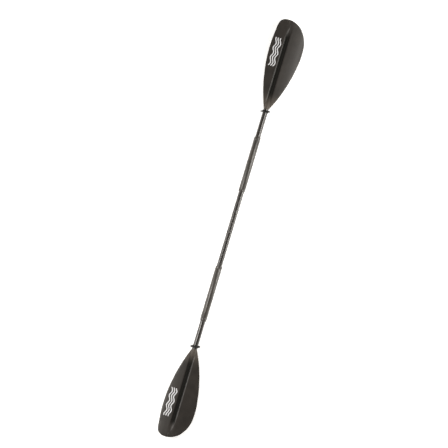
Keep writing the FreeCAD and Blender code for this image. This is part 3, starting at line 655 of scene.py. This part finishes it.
def makeNeck():
    sizes = neckSizes
    cleanSlate()
    bpy.ops.mesh.primitive_circle_add(
        vertices=sizes["sides"], radius=sizes["spigotRadius"] - sizes["spigotWall"],
        location=(tubeEnd - 2 * mm, 0, 0), rotation=(0, math.pi / 2, 0),
    )
    neck = bpy.context.object
    bpy.ops.object.transform_apply(location=True, rotation=True, scale=True)
    startEdit(neck, "bladeNeck")
    bpy.ops.mesh.select_all(action="SELECT")
    # inside the spigot to its end, round its edge, and back to the root of the neck
    here = tubeEnd - 2 * mm
    radius = sizes["spigotRadius"] - sizes["spigotWall"]
    spigotEnd = tubeEnd - sizes["spigotLength"]
    path = [
        (spigotEnd + 0.5 * mm, sizes["spigotRadius"] - sizes["spigotWall"]),
        (spigotEnd, sizes["spigotRadius"] - sizes["spigotWall"] + 0.5 * mm),
        (spigotEnd, sizes["spigotRadius"] - 1 * mm),
        (spigotEnd + 1 * mm, sizes["spigotRadius"]),
        (tubeEnd, sizes["spigotRadius"]),
        (tubeEnd, slimRadius - sizes["rootLip"]),
        (tubeEnd + sizes["rootLip"], slimRadius),
    ]
    for x, wide in path:
        bpy.ops.mesh.extrude_region_move(TRANSFORM_OT_translate={"value": (x - here, 0, 0)})
        bpy.ops.transform.resize(value=(1, wide / radius, wide / radius), center_override=(x, 0, 0))
        here, radius = x, wide
    width = height = radius
    for along, halfWidth, halfHeight in sizes["rings"]:
        x = tubeEnd + along * mm
        bpy.ops.mesh.extrude_region_move(TRANSFORM_OT_translate={"value": (x - here, 0, 0)})
        bpy.ops.transform.resize(
            value=(1, halfWidth * mm / width, halfHeight * mm / height), center_override=(x, 0, 0)
        )
        here, width, height = x, halfWidth * mm, halfHeight * mm
    bpy.ops.mesh.edge_face_add()
    pickEdges(lambda a, b: a.x == b.x and abs(a.x - tubeEnd + 2 * mm) < 0.01 * mm)
    bpy.ops.mesh.edge_face_add()
    tidyShell()
    cleanSlate()
    return neck


def makeBlade():
    sheet = makeBladeSheet()
    neck = makeNeck()
    cleanSlate()
    neck.select_set(True)
    sheet.select_set(True)
    bpy.context.view_layer.objects.active = sheet
    bpy.ops.object.join()
    blade = bpy.context.object
    blade.name = "spooned_blade_right"
    blade.data.name = blade.name
    finishShape(blade, 40)
    blade.data.materials.clear()
    blade.data.materials.append(bladeNylon)
    return blade


bladeRight = makeBlade()
bladeLeft = mirrorAlongShaft(bladeRight, "spooned_blade_left")
for blade, side, body in ((bladeRight, "right", "right_half"), (bladeLeft, "left", "left_half")):
    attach(blade, body)
    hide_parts(f"blade_{side}")
print("blades are shaped:", len(bladeRight.data.polygons), "faces each")


# drip rings

ringSizes = {
    "hubBore": 13.3 * mm,
    "hubRadius": 16.5 * mm,
    "hubLength": 12 * mm,
    "webThickness": 3 * mm,
    "rimRadius": 25.5 * mm,
    "rimThickness": 6 * mm,
    "cant": 10,  # degrees that the soft flange leans sideways
    "dip": 8,  # and at the front
    "steps": 72,
}


def makeDripRing():
    sizes = ringSizes
    half = sizes["hubLength"] / 2
    web = sizes["webThickness"] / 2
    rim = sizes["rimThickness"] / 2
    cleanSlate()
    # half section: x runs along the shaft and y outwards
    bpy.ops.mesh.primitive_plane_add(size=1, location=(0, (sizes["hubBore"] + sizes["hubRadius"]) / 2, 0))
    ring = bpy.context.object
    ring.scale = (sizes["hubLength"], sizes["hubRadius"] - sizes["hubBore"], 1)
    bpy.ops.object.transform_apply(location=True, rotation=True, scale=True)
    startEdit(ring, "dripRing")
    for x in (-half + 1.6 * mm, -web, web, half - 1.6 * mm):
        bpy.ops.mesh.select_all(action="SELECT")
        bpy.ops.mesh.bisect(plane_co=(x, 0, 0), plane_no=(1, 0, 0))
    # a small bead at each end of the hub
    pickPoints(lambda c: c.y > sizes["hubRadius"] - 0.1 * mm and web + 0.1 * mm < abs(c.x) < half - 0.1 * mm)
    bpy.ops.transform.translate(value=(0, -0.8 * mm, 0))
    # the web and the rounded rim grow out of the hub's middle
    pickEdges(lambda a, b: min(a.y, b.y) > sizes["hubRadius"] - 0.1 * mm and max(abs(a.x), abs(b.x)) < web + 0.1 * mm)
    here, wide = sizes["hubRadius"], web
    rimMiddle = sizes["rimRadius"] - rim
    section = [(rimMiddle - rim * 0.95, web)]
    for turn in (-50, -25, 0, 25, 50, 72):
        angle = math.radians(turn)
        section.append((rimMiddle + rim * math.sin(angle), rim * math.cos(angle)))
    section.append((sizes["rimRadius"], 0.25 * mm))
    for outTo, halfWide in section:
        bpy.ops.mesh.extrude_region_move(TRANSFORM_OT_translate={"value": (0, outTo - here, 0)})
        bpy.ops.transform.resize(value=(halfWide / wide, 1, 1), center_override=(0, outTo, 0))
        here, wide = outTo, halfWide
    # only the outline is spun round the shaft
    bpy.ops.mesh.select_all(action="SELECT")
    bpy.ops.mesh.remove_doubles(threshold=0.01 * mm)
    mesh = bpy.context.edit_object.data
    shape = bmesh.from_edit_mesh(mesh)
    bpy.ops.mesh.select_mode(type="EDGE")
    bpy.ops.mesh.select_all(action="DESELECT")
    for edge in shape.edges:
        edge.select_set(len(edge.link_faces) == 2)
    bmesh.update_edit_mesh(mesh)
    bpy.ops.mesh.dissolve_edges(use_verts=False)
    bpy.ops.mesh.select_all(action="SELECT")
    bpy.ops.mesh.delete(type="ONLY_FACE")
    bpy.ops.mesh.select_all(action="SELECT")
    bpy.ops.mesh.spin(steps=sizes["steps"], angle=2 * math.pi, center=(0, 0, 0), axis=(1, 0, 0))
    tidyShell()
    # the soft flange leans over while the hub stays square
    pickPoints(lambda c: math.hypot(c.y, c.z) > sizes["hubRadius"] + 0.3 * mm)
    bpy.ops.transform.rotate(value=-math.radians(sizes["cant"]), orient_axis="Z", center_override=(0, 0, 0))
    bpy.ops.transform.rotate(value=math.radians(sizes["dip"]), orient_axis="Y", center_override=(0, 0, 0))
    cleanSlate()
    makeActive(ring)
    soft = ring.modifiers.new("softEdges", "BEVEL")
    soft.width = 0.5 * mm
    soft.segments = 3
    soft.limit_method = "ANGLE"
    soft.angle_limit = math.radians(38)
    bpy.ops.object.modifier_apply(modifier="softEdges")
    return ring


ringShape = makeDripRing()
for side, body in (("right", "drip_ring_right"), ("left", "drip_ring_left")):
    ring = copyPiece(ringShape, f"rubber_drip_ring_{side}")
    low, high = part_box(f"drip_ring_{side}")
    ring.location.x = (low.x + high.x) / 2
    finishShape(ring)
    ring.data.materials.clear()
    ring.data.materials.append(ringRubber)
    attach(ring, body)
    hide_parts(f"drip_ring_{side}")
bpy.data.objects.remove(ringShape)
print("drip rings are on")


# hand grips

gripSizes = {
    "taper": 10 * mm,
    "taperDrop": 2.2 * mm,
    "innerRound": 1.5 * mm,
    "sides": 72,
}


def makeGrip():
    sizes = gripSizes
    low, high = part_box("grip_right")
    cleanSlate()
    bpy.ops.mesh.primitive_circle_add(
        vertices=sizes["sides"], radius=slimRadius, location=(low.x, 0, 0), rotation=(0, math.pi / 2, 0),
    )
    grip = bpy.context.object
    bpy.ops.object.transform_apply(location=True, rotation=True, scale=True)
    startEdit(grip, "grip")
    bpy.ops.mesh.select_all(action="SELECT")
    full = high.z
    round1 = sizes["innerRound"]
    path = [(low.x, full - round1)]
    for turn in (22.5, 45, 67.5, 90):  # the rolled inner edge
        angle = math.radians(turn)
        path.append((low.x + round1 * (1 - math.cos(angle)), full - round1 + round1 * math.sin(angle)))
    path += [
        (low.x + 9 * mm, full),
        (low.x + 10 * mm, full - 0.45 * mm),  # a fine groove near each end
        (low.x + 11.6 * mm, full - 0.45 * mm),
        (low.x + 12.6 * mm, full),
        (high.x - sizes["taper"] - 11 * mm, full),
        (high.x - sizes["taper"] - 10 * mm, full - 0.45 * mm),
        (high.x - sizes["taper"] - 8.4 * mm, full - 0.45 * mm),
        (high.x - sizes["taper"] - 7.4 * mm, full),
        (high.x - sizes["taper"], full),
        (high.x - sizes["taper"] * 0.5, full - sizes["taperDrop"] * 0.42),
        (high.x - 0.6 * mm, full - sizes["taperDrop"]),
        (high.x, full - sizes["taperDrop"] - 0.6 * mm),
        (high.x, slimRadius),
    ]
    here, radius = low.x, slimRadius
    for x, wide in path:
        bpy.ops.mesh.extrude_region_move(TRANSFORM_OT_translate={"value": (x - here, 0, 0)})
        bpy.ops.transform.resize(value=(1, wide / radius, wide / radius), center_override=(x, 0, 0))
        here, radius = x, wide
    # the bore joins the first loop to the last
    pickEdges(lambda a, b: abs(a.x - b.x) < 1e-6 and abs(math.hypot(a.y, a.z) - slimRadius) < 1e-5)
    bpy.ops.mesh.bridge_edge_loops()
    tidyShell()
    cleanSlate()
    finishShape(grip, 30)
    grip.data.materials.clear()
    grip.data.materials.append(sleeveRubber)
    return grip


gripRight = makeGrip()
gripRight.name = "rubber_grip_right"
gripLeft = mirrorAlongShaft(gripRight, "rubber_grip_left")
for grip, side, body in ((gripRight, "right", "right_half"), (gripLeft, "left", "left_half")):
    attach(grip, body)
    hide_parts(f"grip_{side}")
print("grips are on")


# foam stoppers inside the tubes

stopperSizes = {"edgeRound": 1.3 * mm, "dish": 0.6 * mm, "sides": 48}


def makeStopper(side):
    sizes = stopperSizes
    low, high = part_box(f"foam_stopper_{side}")
    cleanSlate()
    bpy.ops.mesh.primitive_cylinder_add(
        vertices=sizes["sides"], radius=high.z, depth=high.x - low.x,
        location=((low.x + high.x) / 2, 0, 0), rotation=(0, math.pi / 2, 0),
    )
    stopper = bpy.context.object
    bpy.ops.object.transform_apply(location=True, rotation=True, scale=True)
    startEdit(stopper, f"foam_plug_{side}")
    pickEdges(lambda a, b: abs(a.x - b.x) < 1e-6)
    bpy.ops.mesh.bevel(offset=sizes["edgeRound"], segments=4, affect="EDGES")
    for hand in (1, -1):
        pickFaces(lambda c, n: n.x * hand > 0.99)
        bpy.ops.mesh.inset(thickness=2.5 * mm)
        bpy.ops.mesh.inset(thickness=2.0 * mm)
        bpy.ops.transform.translate(value=(-hand * sizes["dish"], 0, 0))
    cleanSlate()
    finishShape(stopper)
    stopper.data.materials.clear()
    stopper.data.materials.append(stopperFoam)
    return stopper


for side, body in (("right", "right_half"), ("left", "left_half")):
    stopper = makeStopper(side)
    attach(stopper, body)
    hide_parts(f"foam_stopper_{side}")
print("stoppers are in")


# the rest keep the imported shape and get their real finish

carriedOver = {
    "shaft_right": shaftFibre,
    "shaft_left": shaftFibre,
    "ferrule_male": ferruleFibre,
    "ferrule_socket": ferruleFibre,
    "ferrule_plug": plugPlastic,
    "seam_ring": seamPlastic,
    "snap_button": buttonSteel,
    "button_spring": springSteel,
}
for node, finish in carriedOver.items():
    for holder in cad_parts[node].material_slots:
        holder.material = finish


# floor

cleanSlate()
bpy.ops.mesh.primitive_grid_add(x_subdivisions=8, y_subdivisions=8, size=24, location=(0, 0, cadBox[0][2] - 0.5 * mm))
floor = bpy.context.object
floor.name = "paleFloor"
floorPaper, tree, shader = startMaterial("mattePaper", 0.8)
place = addNode(tree, "ShaderNodeTexCoord").outputs["Object"]
fibre = addNode(tree, "ShaderNodeTexNoise", {"Vector": place, "Scale": 30.0, "Detail": 4.0})
paper = addNode(tree, "ShaderNodeMix", {
    "Factor": fibre.outputs["Fac"], "A": linearColour("#f3f3f2"), "B": linearColour("#fbfbfa"),
}, data_type="RGBA")
tree.links.new(paper.outputs["Result"], shader.inputs["Base Color"])
shader.inputs["Emission Color"].default_value = (1, 1, 1, 1)  # a light table, so that no shadow is left
shader.inputs["Emission Strength"].default_value = 0.48
floor.data.materials.append(floorPaper)
